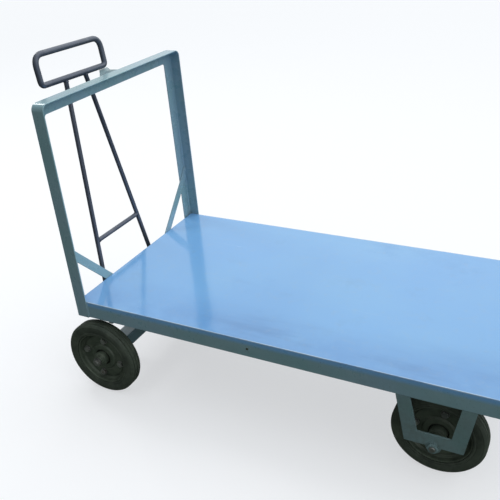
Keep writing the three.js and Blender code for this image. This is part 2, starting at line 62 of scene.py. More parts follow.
def middle(node):
    low, high = corners(node)
    return (low + high) / 2


# Places, from the frame

DECK_LOW, DECK_HIGH = corners("deck_sheet")
DECK_TOP = DECK_HIGH.z
HALF_WIDTH = DECK_HIGH.y
RAIL_BOTTOM = corners("side_rail_left")[0].z
HOOP_REAR = corners("end_hoop")[1].x
KINGPIN = middle("kingpin")
HINGE = middle("tow_eye_left")
RIM_RADIUS = 107.7
HUB_BORE = 10.6
AXLE_RADIUS = 10
KINGPIN_RADIUS = 12
KINGPIN_FLATS = 36  # across a hexagon's flats, as the next three
REAR_FLATS = 30
STUB_FLATS = 28
BOLT_FLATS = 21
BOLT_RADIUS = 6.0


# Shapes in millimetres: lists of vertices and faces


class Shape:
    """Closed pieces gathered as vertices and faces."""

    def __init__(self):
        self.verts, self.faces = [], []

    def add(self, made, place=None):
        verts, faces = made
        base = len(self.verts)
        self.verts += [place @ v for v in verts] if place else list(verts)
        self.faces += [[i + base for i in f] for f in faces]
        return self


def rounded(points, radius, steps=4, closed=True):
    """A polyline with its corners rounded. A point may end with its own radius."""
    made, count = [], len(points)
    size = 3 if isinstance(points[0], Vector) else 2
    for i, point in enumerate(points):
        here = Vector(point[:size])
        own = point[2] if size == 2 and len(point) > 2 else radius
        at_end = not closed and i in (0, count - 1)
        back = Vector(points[i - 1][:size]) - here
        ahead = Vector(points[(i + 1) % count][:size]) - here
        if at_end or own <= 0 or back.angle(ahead) > math.pi - 0.02:
            made.append(here)
            continue
        reach = own / math.tan(back.angle(ahead) / 2)
        reach = min(reach, 0.48 * back.length, 0.48 * ahead.length)
        start, end = here + back.normalized() * reach, here + ahead.normalized() * reach
        for k in range(steps + 1):
            t = k / steps
            made.append(start * (1 - t) ** 2 + here * 2 * t * (1 - t) + end * t * t)
    return made


def lathe(profile, segments=96, closed=True):
    """A profile of (radius, y) turned about the Y axis."""
    verts, rows = [], []
    for r, y in profile:
        if r < 1e-6:
            rows.append([len(verts)] * segments)
            verts.append(Vector((0, y, 0)))
            continue
        rows.append(list(range(len(verts), len(verts) + segments)))
        for k in range(segments):
            a = 2 * math.pi * k / segments
            verts.append(Vector((r * math.cos(a), y, r * math.sin(a))))
    return verts, strips(rows, closed)


def strips(rows, closed):
    """Faces between neighbouring rows, each row a ring of vertex numbers."""
    faces = []
    for a, b in zip(rows, rows[1:] + ([rows[0]] if closed else [])):
        for k in range(len(a)):
            j = (k + 1) % len(a)
            quad = list(dict.fromkeys((a[k], a[j], b[j], b[k])))
            if len(quad) > 2:
                faces.append(quad)
    return faces


def sweep(path, radius, sides=24, loop=False, chamfer=1.0, swell=None):
    """A round bar along a path. swell(t) scales its radius along the way."""
    path = [Vector(p) for p in path]
    count = len(path)
    tangents = []
    for i in range(count):
        back = path[i - 1] if loop or i else path[i]
        ahead = path[(i + 1) % count] if loop or i < count - 1 else path[i]
        tangents.append((ahead - back).normalized())
    across = tangents[0].orthogonal().normalized()
    verts, rows = [], []

    def ring(centre, tangent, r):
        nonlocal across
        across = (across - tangent * across.dot(tangent)).normalized()
        side = tangent.cross(across)
        rows.append(list(range(len(verts), len(verts) + sides)))
        for k in range(sides):
            a = 2 * math.pi * k / sides
            verts.append(centre + (across * math.cos(a) + side * math.sin(a)) * r)

    def pole(centre):
        rows.append([len(verts)] * sides)
        verts.append(centre)

    for i, (centre, tangent) in enumerate(zip(path, tangents)):
        r = radius * (swell(i / max(count - 1, 1)) if swell else 1)
        if not loop and i == 0:
            pole(centre)
            ring(centre, tangent, r - chamfer)
            ring(centre + tangent * chamfer, tangent, r)
        elif not loop and i == count - 1:
            ring(centre - tangent * chamfer, tangent, r)
            ring(centre, tangent, r - chamfer)
            pole(centre)
        else:
            ring(centre, tangent, r)
    return verts, strips(rows, loop)


def hexagon(across_flats, bore, low, high, both_ends=True):
    """A hexagonal nut or head about the Y axis, with its corners turned down."""
    segments, flat = 72, across_flats / 2
    sixth = math.pi / 3

    def radius(a):
        return flat / math.cos((a % sixth) - sixth / 2)

    rim = flat * 0.97
    verts, rows = [], []

    def row(of):
        rows.append(list(range(len(verts), len(verts) + segments)))
        for k in range(segments):
            a = 2 * math.pi * k / segments
            r, y = of(a)
            verts.append(Vector((r * math.cos(a), y, r * math.sin(a))))

    slope = math.tan(math.radians(30))
    inner = max(bore, 0.01)

    def ring(r, y):
        row(lambda a: (r, y))

    def faceted(y, side):
        row(lambda a: (radius(a), y + side * (radius(a) - rim) * slope))

    ring(inner, low)
    if both_ends:
        ring(rim, low)
        faceted(low, 1)
    else:
        faceted(low, 0)
    faceted(high, -1)
    ring(rim, high)
    ring(inner, high)
    return verts, strips(rows, True)


def washer(outer, inner, low, high):
    return lathe(rounded([(inner, low), (outer, low), (outer, high), (inner, high)], 0.6, 2), 48)


def bead(path, radius, seed, ripple=3.2):
    """A run of weld along a path, with a ripple every few millimetres and uneven width."""
    points, total = [], 0.0
    for a, b in zip(path, path[1:]):
        steps = max(2, int((b - a).length / (ripple / 3)))
        points += [a.lerp(b, k / steps) for k in range(steps)]
        total += (b - a).length
    points.append(path[-1])

    def swell(t):
        along = t * total
        wave = 0.5 + 0.5 * math.cos(2 * math.pi * along / ripple)
        wander = noise.noise(Vector((along * 0.09, seed * 7.3, 0.5)))
        ends = min(1, 0.45 + along / (2 * radius), 0.45 + (total - along) / (2 * radius))
        return (0.86 + 0.14 * wave + 0.16 * wander) * ends

    return sweep(points, radius, sides=10, chamfer=radius * 0.2, swell=swell)


def side_place(centre, sign):
    """Puts a piece drawn with its outer side facing -Y at a centre. The right side turns half round."""
    turn = Matrix.Rotation(math.pi if sign > 0 else 0, 4, "Z")
    return Matrix.Translation(centre) @ turn


# Materials

RANGE_ENDS = ("From Min", "From Max", "To Min", "To Max")


class Paint:
    """A material made from nodes, with short calls for the usual ones."""

    def __init__(self, name):
        self.material = bpy.data.materials.new(name)
        self.material.use_nodes = True
        self.tree = self.material.node_tree
        self.shader = self.tree.nodes["Principled BSDF"]
        self.coords = self.tree.nodes.new("ShaderNodeTexCoord").outputs["Object"]
        self.geometry = self.tree.nodes.new("ShaderNodeNewGeometry")

    def link(self, value, socket):
        if isinstance(value, bpy.types.NodeSocket):
            self.tree.links.new(value, socket)
        elif hasattr(value, "__len__") and len(value) == 3 and socket.type == "RGBA":
            socket.default_value = (*value, 1)
        else:
            socket.default_value = value

    def node(self, kind, **inputs):
        made = self.tree.nodes.new(kind)
        for key, value in inputs.items():
            self.link(value, made.inputs[key.replace("_", " ")])
        return made

    def noise(self, scale, detail=3.0, rough=0.55, stretch=None, shift=0.0):
        vector = self.coords
        if stretch or shift:
            move = self.node("ShaderNodeMapping", Vector=self.coords)
            move.inputs["Scale"].default_value = stretch or (1, 1, 1)
            move.inputs["Location"].default_value = (shift, shift * 0.7, shift * 1.3)
            vector = move.outputs["Vector"]
        made = self.node(
            "ShaderNodeTexNoise", Vector=vector, Scale=scale, Detail=detail, Roughness=rough
        )
        return made.outputs["Fac"]

    def ramp(self, value, low, high, out_low=0.0, out_high=1.0):
        """value from low to high, smoothly mapped to out_low and out_high."""
        made = self.tree.nodes.new("ShaderNodeMapRange")
        made.interpolation_type = "SMOOTHSTEP"
        for key, number in zip(("Value", *RANGE_ENDS), (value, low, high, out_low, out_high)):
            self.link(number, made.inputs[key])
        return made.outputs["Result"]

    def math(self, operation, a, b=0.5):
        made = self.tree.nodes.new("ShaderNodeMath")
        made.operation = operation
        made.use_clamp = operation in ("ADD", "MULTIPLY", "SUBTRACT")
        self.link(a, made.inputs[0])
        self.link(b, made.inputs[1])
        return made.outputs["Value"]

    def mix(self, share, a, b):
        """Colour b laid over colour a, by a share from 0 to 1."""
        made = self.tree.nodes.new("ShaderNodeMix")
        made.data_type = "RGBA"
        self.link(share, made.inputs["Factor"])
        color_a, color_b = (socket for socket in made.inputs if socket.type == "RGBA")
        self.link(a, color_a)
        self.link(b, color_b)
        return next(socket for socket in made.outputs if socket.type == "RGBA")

    def times(self, a, b):
        return self.math("MULTIPLY", a, b)

    def plus(self, a, b):
        return self.math("ADD", a, b)

    def height(self):
        return self.node("ShaderNodeSeparateXYZ", Vector=self.coords).outputs["Z"]

    def upward(self):
        """1 where the surface faces up, 0 where it is upright or faces down."""
        part = self.node("ShaderNodeSeparateXYZ", Vector=self.geometry.outputs["Normal"])
        return self.ramp(part.outputs["Z"], 0.2, 0.95)

    def edges(self, radius):
        """1 along sharp outer edges, from the way a bevelled normal leans there."""
        lean = self.tree.nodes.new("ShaderNodeBevel")
        lean.samples = 4
        lean.inputs["Radius"].default_value = radius
        dot = self.tree.nodes.new("ShaderNodeVectorMath")
        dot.operation = "DOT_PRODUCT"
        self.tree.links.new(lean.outputs["Normal"], dot.inputs[0])
        self.tree.links.new(self.geometry.outputs["Normal"], dot.inputs[1])
        return self.ramp(dot.outputs["Value"], 0.985, 0.86)

    def corners(self, distance):
        """1 in tight inner corners, where shade falls: a mask for painted shade."""
        made = self.tree.nodes.new("ShaderNodeAmbientOcclusion")
        made.samples = 4
        made.inputs["Distance"].default_value = distance
        return self.ramp(made.outputs["AO"], 0.85, 0.35)

    def bump(self, height, distance, strength=1.0, below=None):
        made = self.tree.nodes.new("ShaderNodeBump")
        made.inputs["Strength"].default_value = strength
        made.inputs["Distance"].default_value = distance
        self.link(height, made.inputs["Height"])
        if below is not None:
            self.tree.links.new(below, made.inputs["Normal"])
        return made.outputs["Normal"]

    def finish(self, color, roughness, normal=None, **others):
        self.link(color, self.shader.inputs["Base Color"])
        self.link(roughness, self.shader.inputs["Roughness"])
        if normal is not None:
            self.tree.links.new(normal, self.shader.inputs["Normal"])
        for key, value in others.items():
            self.link(value, self.shader.inputs[key.replace("_", " ")])
        return self.material


GROUND_DUST = (0.115, 0.112, 0.088)
BARE_STEEL = (0.28, 0.27, 0.26)
RUST = (0.16, 0.062, 0.025)
# The colour of the painted shade on the deck's near side.
NEAR_SIDE_SHADE_BLUE = (0.125, 0.300, 0.610)


def enamel(name, color, roughness, wear=0.5, dust=0.4, coat=0.3, lip=None, corner_grime_and_shade=0.6):
    """Sprayed enamel on steel: orange peel, faded patches, dust, grime and painted shade in corners,
    and chipped edges.
    """
    p = Paint(name)
    patches = p.noise(5.5, 4, 0.6)
    faded = [c * k for c, k in zip(color, (0.84, 0.94, 0.92))]
    cooler = [c * k for c, k in zip(color, (0.98, 0.96, 1.05))]
    color = p.mix(p.ramp(patches, 0.35, 0.70), color, faded)
    color = p.mix(p.ramp(p.noise(3.1, 3, 0.6, shift=6.6), 0.45, 0.68, 0.0, 0.8), color, cooler)
    if lip:
        low, high, lip_color = lip
        edge = p.plus(p.height(), p.times(p.noise(60, 2), 0.004))
        color = p.mix(p.ramp(edge, low, high), color, lip_color)
    speck = p.ramp(p.noise(210, 2, 0.5, shift=3.1), 0.66, 0.74)
    color = p.mix(p.times(speck, 0.35), color, [c * 0.55 for c in GROUND_DUST])
    drift = p.times(p.noise(14, 5, 0.62, shift=8.0), p.noise(70, 3, 0.6))
    near_floor = p.ramp(p.height(), 0.45, 0.05)
    film = p.plus(p.times(p.upward(), 0.25), near_floor)
    film = p.times(p.times(film, p.ramp(drift, 0.12, 0.42)), dust)
    color = p.mix(film, color, GROUND_DUST)
    # Painted shade with grime: tight corners darkened nearly to black, in patches.
    inner = p.times(p.corners(0.022), p.times(p.ramp(p.noise(45, 3), 0.3, 0.6), corner_grime_and_shade))
    color = p.mix(inner, color, [c * 0.3 for c in GROUND_DUST])
    chips = p.times(p.edges(0.0035), p.ramp(p.noise(95, 4, 0.65, shift=1.7), 0.56, 0.66))
    chips = p.times(chips, wear)
    nicks = p.times(p.ramp(p.noise(130, 3, 0.7, shift=5.5), 0.73, 0.77), wear)
    bare = p.plus(chips, nicks)
    rusty = p.mix(p.ramp(p.noise(40, 3), 0.42, 0.62), BARE_STEEL, RUST)
    color = p.mix(bare, color, rusty)
    rough = p.ramp(p.noise(20, 4, 0.6, shift=2.2), 0.3, 0.7, roughness, roughness + 0.1)
    rough = p.plus(rough, p.times(p.plus(film, bare), 0.45))
    peel = p.bump(p.noise(620, 2, 0.5), 0.00006)
    dents = p.bump(p.noise(26, 2, 0.4, shift=4.0), 0.0006, 1.0, peel)
    chipped = p.bump(p.math("SUBTRACT", 1.0, bare), 0.00018, 1.0, dents)
    return p.finish(
        color, rough, chipped, Coat_Weight=coat, Coat_Roughness=roughness * 0.6, Metallic=0.0
    )


def deck_enamel():
    """The deck's glossy blue enamel: drag marks, painted shade darkening the near side, a painted
    highlight along the long edges, chips and thin dust.
    """
    p = Paint("deck_enamel")
    blue, pale, deep = (0.182, 0.412, 0.750), (0.203, 0.440, 0.750), (0.145, 0.348, 0.66)
    color = p.mix(p.ramp(p.noise(1.6, 3, 0.5), 0.35, 0.65), blue, pale)
    color = p.mix(p.ramp(p.noise(4.5, 5, 0.6, shift=6.0), 0.56, 0.78, 0, 0.5), color, deep)
    drag = p.noise(3.2, 4, 0.6, stretch=(0.35, 9.0, 1.0), shift=2.0)
    drag_fine = p.noise(4.0, 3, 0.6, stretch=(1.0, 30.0, 1.0), shift=9.0)
    marks = p.times(p.ramp(drag, 0.54, 0.72), p.ramp(drag_fine, 0.5, 0.68))
    color = p.mix(p.times(marks, 0.12), color, (0.42, 0.60, 0.80))
    place = p.node("ShaderNodeSeparateXYZ", Vector=p.coords).outputs
    across, along = place["Y"], place["X"]
    patches = p.ramp(p.noise(2.6, 5, 0.62, shift=3.3), 0.30, 0.60)
    # Painted shade: the deck's near side is darkened in patches.
    rubbed_and_shaded = p.times(p.ramp(across, -0.17, -0.40), patches)
    color = p.mix(p.times(rubbed_and_shaded, 0.75), color, NEAR_SIDE_SHADE_BLUE)
    # Painted shade: the near side is darkened further towards the rear.
    worn_and_shaded = p.times(p.ramp(across, -0.08, -0.40), p.ramp(along, 0.25, 0.78))
    color = p.mix(p.times(worn_and_shaded, 0.42), color, NEAR_SIDE_SHADE_BLUE)
    # Painted shade, streaked: darker streaks within the near side's painted shade, towards the front.
    streak = p.noise(2.2, 4, 0.6, stretch=(1.0, 5.0, 1.0), shift=5.2)
    shade_streaks = p.times(p.times(rubbed_and_shaded, p.ramp(streak, 0.46, 0.70)), 0.5)
    shade_streaks = p.times(shade_streaks, p.ramp(along, -0.35, 0.05))
    color = p.mix(shade_streaks, color, (0.085, 0.205, 0.43))
    smudge = p.times(p.ramp(p.noise(7.5, 5, 0.65, shift=12.0), 0.58, 0.74), 0.16)
    color = p.mix(smudge, color, (0.16, 0.30, 0.46))
    dust = p.times(p.ramp(p.noise(32, 5, 0.65, shift=4.0), 0.5, 0.8), 0.10)
    color = p.mix(dust, color, (0.40, 0.42, 0.40))
    chips = p.times(p.edges(0.004), p.ramp(p.noise(80, 4, 0.65), 0.52, 0.62))
    nicks = p.ramp(p.noise(88, 3, 0.7, shift=5.0), 0.755, 0.785)
    bare = p.plus(p.times(chips, 0.8), p.times(nicks, 0.7))
    color = p.mix(bare, color, p.mix(p.ramp(p.noise(40, 3), 0.4, 0.6), BARE_STEEL, RUST))
    rough = p.ramp(p.noise(9, 4, 0.6), 0.3, 0.75, 0.10, 0.20)
    # Painted highlight: a pale broken line along the deck's long rolled edges, where they catch light.
    rim = p.ramp(p.math("ABSOLUTE", across), 0.3950, 0.3975)
    broken = p.ramp(p.noise(5, 4, 0.6, stretch=(1, 0.1, 1), shift=1.5), 0.36, 0.56)
    rim = p.times(rim, broken)
    color = p.mix(p.times(rim, 0.75), color, (0.46, 0.60, 0.72))
    dull = p.plus(p.times(marks, 0.35), p.plus(dust, bare))
    rough = p.plus(rough, p.times(dull, 0.4))
    peel = p.bump(p.noise(560, 2, 0.5), 0.00003)
    scored = p.bump(p.math("SUBTRACT", 1.0, p.times(marks, 0.4)), 0.00003, 1.0, peel)
    return p.finish(color, rough, scored, Coat_Weight=0.35, Coat_Roughness=0.06, Metallic=0.0)


def rubber():
    """Solid rubber tyre: scuffed tread, a grey-green film of yard dust and fine pitting."""
    p = Paint("tyre_rubber")
    color = p.mix(p.ramp(p.noise(12, 4), 0.3, 0.7), (0.032, 0.043, 0.032), (0.062, 0.080, 0.058))
    dusty = p.times(p.ramp(p.noise(22, 5, 0.66, shift=3.0), 0.40, 0.75), 0.5)
    color = p.mix(dusty, color, (0.110, 0.132, 0.100))
    scuffs = p.times(p.edges(0.003), p.ramp(p.noise(70, 4), 0.42, 0.62))
    color = p.mix(p.times(scuffs, 0.55), color, (0.105, 0.105, 0.085))
    grit = p.ramp(p.noise(260, 2), 0.68, 0.76)
    color = p.mix(p.times(grit, 0.4), color, (0.12, 0.12, 0.10))
    rough = p.ramp(p.noise(30, 4, shift=1.0), 0.3, 0.7, 0.60, 0.86)
    pits = p.bump(p.noise(340, 4, 0.7), 0.00022)
    lumps = p.bump(p.noise(35, 3), 0.0005, 1.0, pits)
    return p.finish(color, rough, lumps, Metallic=0.0)


def wheel_steel():
    """Old dark paint on the pressed wheel discs and hubs, with painted shade in their tight corners."""
    p = Paint("wheel_steel")
    color = p.mix(p.ramp(p.noise(16, 4), 0.3, 0.7), (0.060, 0.080, 0.058), (0.105, 0.132, 0.098))
    dusty = p.times(p.ramp(p.noise(38, 5, 0.65, shift=2.0), 0.42, 0.74), 0.55)
    color = p.mix(dusty, color, (0.150, 0.172, 0.130))
    # Only wear here, no shade: paint thinned pale along the outer edges.
    worn_and_shaded = p.times(p.edges(0.0025), p.ramp(p.noise(90, 4), 0.44, 0.6))
    flakes = p.ramp(p.noise(65, 4, 0.7, shift=7.0), 0.66, 0.72)
    color = p.mix(p.times(worn_and_shaded, 0.65), color, (0.20, 0.20, 0.18))
    color = p.mix(p.times(flakes, 0.6), color, (0.075, 0.045, 0.026))
    # Painted shade: tight corners round the hub and bolts darkened nearly to black.
    color = p.mix(p.times(p.corners(0.018), 0.6), color, (0.012, 0.013, 0.010))
    rough = p.ramp(p.noise(24, 4, shift=5.0), 0.3, 0.7, 0.32, 0.56)
    rough = p.plus(rough, p.times(dusty, 0.3))
    skin = p.bump(p.noise(300, 3), 0.00012)
    flaked = p.bump(p.math("SUBTRACT", 1.0, flakes), 0.00015, 1.0, skin)
    return p.finish(color, rough, flaked, Metallic=0.25)


def gunmetal():
    """Dark slate paint on the tow bar's round steel, with bare metal showing through where hands hold
    it.
    """
    p = Paint("dark_enamel")
    color = p.mix(p.ramp(p.noise(9, 4), 0.3, 0.7), (0.068, 0.080, 0.115), (0.098, 0.112, 0.150))
    handled = p.ramp(p.height(), 0.7, 1.15, 0.15, 0.6)
    # Only wear here, no shade: paint thinned to metal where hands hold the bar, higher up.
    rubbed_and_shaded = p.times(p.ramp(p.noise(26, 5, 0.68, shift=2.0), 0.55, 0.7), handled)
    color = p.mix(rubbed_and_shaded, color, (0.15, 0.17, 0.20))
    spots = p.ramp(p.noise(120, 3, 0.7, shift=4.0), 0.70, 0.75)
    color = p.mix(p.times(spots, 0.5), color, (0.10, 0.055, 0.03))
    dust = p.times(p.times(p.upward(), p.ramp(p.noise(40, 4, shift=6.0), 0.4, 0.7)), 0.25)
    color = p.mix(dust, color, GROUND_DUST)
    rough = p.ramp(p.noise(18, 4, shift=1.0), 0.3, 0.7, 0.26, 0.42)
    rough = p.plus(rough, p.times(spots, 0.3))
    peel = p.bump(p.noise(500, 3), 0.00008)
    return p.finish(color, rough, peel, Metallic=0.35, Coat_Weight=0.2, Coat_Roughness=0.25)


def zinc(name, grease=0.3):
    """Plated pins, nuts and bolts: dull grey zinc with turning marks, grease and a little rust."""
    p = Paint(name)
    color = p.mix(p.ramp(p.noise(45, 4), 0.3, 0.7), (0.30, 0.31, 0.30), (0.46, 0.47, 0.45))
    stain = p.ramp(p.noise(60, 4, 0.7, shift=3.0), 0.56, 0.70)
    color = p.mix(p.times(stain, 0.55), color, RUST)
    oily = p.times(p.ramp(p.noise(30, 4, shift=6.0), 0.35, 0.65), grease)
    color = p.mix(oily, color, (0.035, 0.033, 0.026))
    # Painted shade: tight corners darkened nearly to black.
    color = p.mix(p.times(p.corners(0.006), 0.7), color, (0.02, 0.02, 0.016))
    rough = p.plus(p.ramp(p.noise(80, 3), 0.3, 0.7, 0.28, 0.5), p.times(stain, 0.3))
    return p.finish(color, rough, p.bump(p.noise(420, 3), 0.00010), Metallic=0.85)


SHEET_BLUE = (0.200, 0.440, 0.760)
FRAME_BLUE = (0.262, 0.415, 0.470)
FORK_BLUE = (0.185, 0.285, 0.300)
LIP_Z = ((DECK_TOP - 24) * MM, (DECK_TOP - 7) * MM)

LOOKS = {
    "deck": deck_enamel(),
    "frame": enamel("frame_enamel", FRAME_BLUE, 0.24, wear=0.5, dust=0.45, coat=0.5, corner_grime_and_shade=0.2),
    "fork": enamel("fork_enamel", FORK_BLUE, 0.32, wear=0.6, dust=0.5, coat=0.2),
    "rail": enamel(
        "rail_enamel", FRAME_BLUE, 0.26, wear=0.5, dust=0.45, coat=0.3,
        lip=(*LIP_Z, SHEET_BLUE), corner_grime_and_shade=0.3,
    ),
    "truck": enamel("truck_enamel", (0.105, 0.190, 0.225), 0.30, wear=0.6, dust=0.35, coat=0.4),
    "dark": gunmetal(),
    "wheel": wheel_steel(),
    "rubber": rubber(),
    "zinc": zinc("pin_steel"),
    "bolt": zinc("bolt_steel", grease=0.15),
}


# Pieces


def settle(mesh_in, name, body, look, nodes, sharp=32):
    """Makes a bmesh, in metres, into a piece that rides on a body and stands for CAD nodes."""
    bmesh.ops.recalc_face_normals(mesh_in, faces=mesh_in.faces)
    mesh = bpy.data.meshes.new(name)
    mesh_in.to_mesh(mesh)
    mesh_in.free()
    mesh.shade_smooth()
    mesh.set_sharp_from_angle(angle=math.radians(sharp))
    mesh.materials.append(LOOKS[look])
    piece = bpy.data.objects.new(name, mesh)
    SCENE.collection.objects.link(piece)
    weighted = piece.modifiers.new("even_shading", "WEIGHTED_NORMAL")
    weighted.keep_sharp = True
    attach(piece, body)
    if nodes:
        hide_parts(*nodes)
    return piece


def piece_from(shape, name, body, look, nodes=(), sharp=32):
    made = bmesh.new()
    verts = [made.verts.new(v * MM) for v in shape.verts]
    for face in shape.faces:
        made.faces.new([verts[i] for i in face])
    return settle(made, name, body, look, nodes, sharp)


def bend(edge):
    """How sharply two faces meet at an edge: above 0 at an outer edge, below 0 at an inner one."""
    return edge.calc_face_angle_signed() if len(edge.link_faces) == 2 else 0.0


def refined(node, body, look, width=1.2, steps=2, fillet=0.0):
    """A copy of a CAD plate or section with its edges rounded, and its long inner corners filled."""
    made = bmesh.new()
    made.from_mesh(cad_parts[node].data)
    bmesh.ops.remove_doubles(made, verts=made.verts, dist=1e-6)
    bmesh.ops.dissolve_limit(
        made, angle_limit=math.radians(1.0), verts=made.verts, edges=made.edges
    )
    made.normal_update()
    sharp_turn = math.radians(40)
    if fillet:
        inner = [e for e in made.edges if bend(e) < -sharp_turn]
        bmesh.ops.bevel(
            made, geom=inner, offset=fillet * MM, segments=5, profile=0.5, affect="EDGES",
            clamp_overlap=True,
        )
        made.normal_update()
    turned = [e for e in made.edges if abs(bend(e)) > sharp_turn]
    bmesh.ops.bevel(
        made, geom=turned, offset=width * MM, segments=steps, profile=0.5,
        affect="EDGES", clamp_overlap=True,
    )
    if fillet:
        made = in_order(made)
    return settle(made, "visual_" + node, body, look, [node], sharp=40)


def in_order(made):
    """The same mesh in a fixed order: two bevels in a row begin some faces at any corner."""
    bmesh.ops.recalc_face_normals(made, faces=made.faces)
    made.verts.index_update()
    loops = []
    for face in made.faces:
        turn = [v.index for v in face.verts]
        first = turn.index(min(turn))
        loops.append(turn[first:] + turn[:first])
    ordered = bmesh.new()
    verts = [ordered.verts.new(v.co) for v in made.verts]
    for turn in sorted(loops):
        ordered.faces.new([verts[i] for i in turn])
    made.free()
    return ordered


def deck_panel():
    """The deck's sheet: rolled edges, long shallow waves and the fine buckling of thin plate."""
    low, high = DECK_LOW, DECK_HIGH
    columns, rows, edge = 160, 80, 1.4
    sag_depth, buckle_depth, level_edge = 0.9, 0.17, 60
    made = bmesh.new()

    def stops(a, b, count):
        inner = [a + edge + (b - a - 2 * edge) * k / count for k in range(count + 1)]
        return [a, a + edge * 0.35] + inner + [b - edge * 0.35, b]

    xs, ys = stops(low.x, high.x, columns), stops(low.y, high.y, rows)

    def drop(x, y):
        near = min(x - low.x, high.x - x, y - low.y, high.y - y)
        if near >= edge:
            sag = 0.5 + 0.5 * noise.noise(Vector((x * 0.0042, y * 0.0085, 3.7)))
            buckle = 0.5 + 0.5 * noise.noise(Vector((x * 0.0125, y * 0.0125, 9.1)))
            fade = min(1, near / level_edge)
            return (sag_depth * sag + buckle_depth * buckle) * fade
        return edge - math.sqrt(max(0, edge**2 - (edge - near) ** 2))

    top = [[made.verts.new(Vector((x, y, high.z - drop(x, y))) * MM) for y in ys] for x in xs]
    for a, b in zip(top, top[1:]):
        for k in range(len(ys) - 1):
            made.faces.new((a[k], b[k], b[k + 1], a[k + 1]))
    rim = [row[0] for row in top] + top[-1][1:] + [row[-1] for row in top[-2::-1]] + top[0][-2:0:-1]
    under = [made.verts.new(Vector((v.co.x, v.co.y, low.z * MM))) for v in rim]
    for k, (v, u) in enumerate(zip(rim, under)):
        made.faces.new((v, u, under[(k + 1) % len(rim)], rim[(k + 1) % len(rim)]))
    made.faces.new(under)
    return settle(made, "visual_deck_sheet", "chassis", "deck", ["deck_sheet"], sharp=50)


def chassis():
    deck_panel()
    for name, _ in SIDES:
        refined("side_rail_" + name, "chassis", "rail", 1.6, 3)
        refined("hoop_brace_" + name, "chassis", "frame", 1.0)
        refined("rear_fork_plate_" + name, "chassis", "fork", 1.2)
        refined("rear_fork_bracket_" + name, "chassis", "fork", 1.2)
    for name in ("front", "rear"):
        refined("end_rail_" + name, "chassis", "rail", 1.6, 3)
    for name in ("front", "middle", "rear"):
        refined("cross_member_" + name, "chassis", "frame", 1.4)
    refined("turntable_bolster", "chassis", "frame", 1.4)
    refined("turntable_upper_plate", "chassis", "frame", 0.8)
    refined("end_hoop", "chassis", "frame", 2.2, 3, fillet=6.0)
    refined("parking_catch", "chassis", "frame", 1.0)


PLUG_FROM_FRONT = 706  # from the deck's front edge
PLUG_HEIGHT = 350  # above the floor


def rail_plugs():
    """A small domed plug, as in a drilled hole, on each long rail."""
    dome = [(0, -3.0), (2.6, -2.4), (4.4, -1.0), (4.9, 0.6), (4.9, 4.0), (0, 4.0)]
    for name, sign in SIDES:
        spot = Vector((DECK_LOW.x + PLUG_FROM_FRONT, sign * HALF_WIDTH, PLUG_HEIGHT))
        plug = Shape().add(lathe(dome, 32, closed=False), side_place(spot, sign))
        piece_from(plug, "rail_plug_" + name, "chassis", "rubber")


def rear_axles():
    """Axle bolts through the forks, each with a head inside, a washer and a nut outside."""
    for name, sign in SIDES:
        fork = middle("tyre_rear_" + name)
        plate = abs(corners("rear_fork_plate_left")[0].y) - abs(fork.y)
        reach = plate + 16
        place = side_place(fork, sign)
        bolt = Shape()
        bolt.add(sweep([(0, -reach, 0), (0, plate + 2, 0)], AXLE_RADIUS, 40, chamfer=1.8), place)
        bolt.add(hexagon(REAR_FLATS, 0, plate + 0.3, plate + 12, both_ends=False), place)
        piece_from(bolt, "visual_rear_axle_" + name, "chassis", "zinc", ["rear_axle_" + name])
        nut = Shape()
        nut.add(washer(19, AXLE_RADIUS + 0.3, -plate - 2.4, -plate - 0.1), place)
        nut.add(hexagon(REAR_FLATS, AXLE_RADIUS + 0.2, -plate - 12, -plate - 2.5), place)
        piece_from(nut, "visual_rear_axle_nut_" + name, "chassis", "fork", ["rear_axle_nut_" + name])


def turntable():
    """The kingpin and the plates and ring it holds together."""
    low, high = corners("kingpin")
    upright = Matrix.Translation((KINGPIN.x, KINGPIN.y, 0)) @ Matrix.Rotation(math.pi / 2, 4, "X")
    pin = Shape()
    pin.add(sweep([(0, low.z, 0), (0, high.z - 13, 0)], KINGPIN_RADIUS, 40, chamfer=1.8), upright)
    pin.add(hexagon(KINGPIN_FLATS, 0, high.z - 14, high.z), upright)
    piece_from(pin, "visual_kingpin", "chassis", "zinc", ["kingpin"])
    low, high = corners("kingpin_nut")
    nut = Shape().add(hexagon(KINGPIN_FLATS, KINGPIN_RADIUS + 0.2, low.z, high.z), upright)
    piece_from(nut, "visual_kingpin_nut", "chassis", "zinc", ["kingpin_nut"])
    low, high = corners("turntable_race")
    outer = (high.x - low.x) / 2
    profile = [
        (outer - 21, low.z),
        (outer, low.z),
        (outer, low.z + 4.4),
        (outer - 2.4, low.z + 5.2),
        (outer - 2.4, high.z - 5.2),
        (outer, high.z - 4.4),
        (outer, high.z),
        (outer - 21, high.z),
    ]
    ring = Shape().add(lathe(rounded(profile, 0.7, 2), 96), upright)
    piece_from(ring, "visual_turntable_race", "front_truck", "zinc", ["turntable_race"])
    low, high = corners("turntable_lower_plate")
    outer = (high.x - low.x) / 2
    bore = KINGPIN_RADIUS + 0.3
    profile = [(bore, low.z), (outer, low.z), (outer, high.z), (bore, high.z)]
    plate = Shape().add(lathe(rounded(profile, 1.2, 3), 96), upright)
    piece_from(
        plate, "visual_turntable_lower_plate", "front_truck", "truck", ["turntable_lower_plate"]
    )


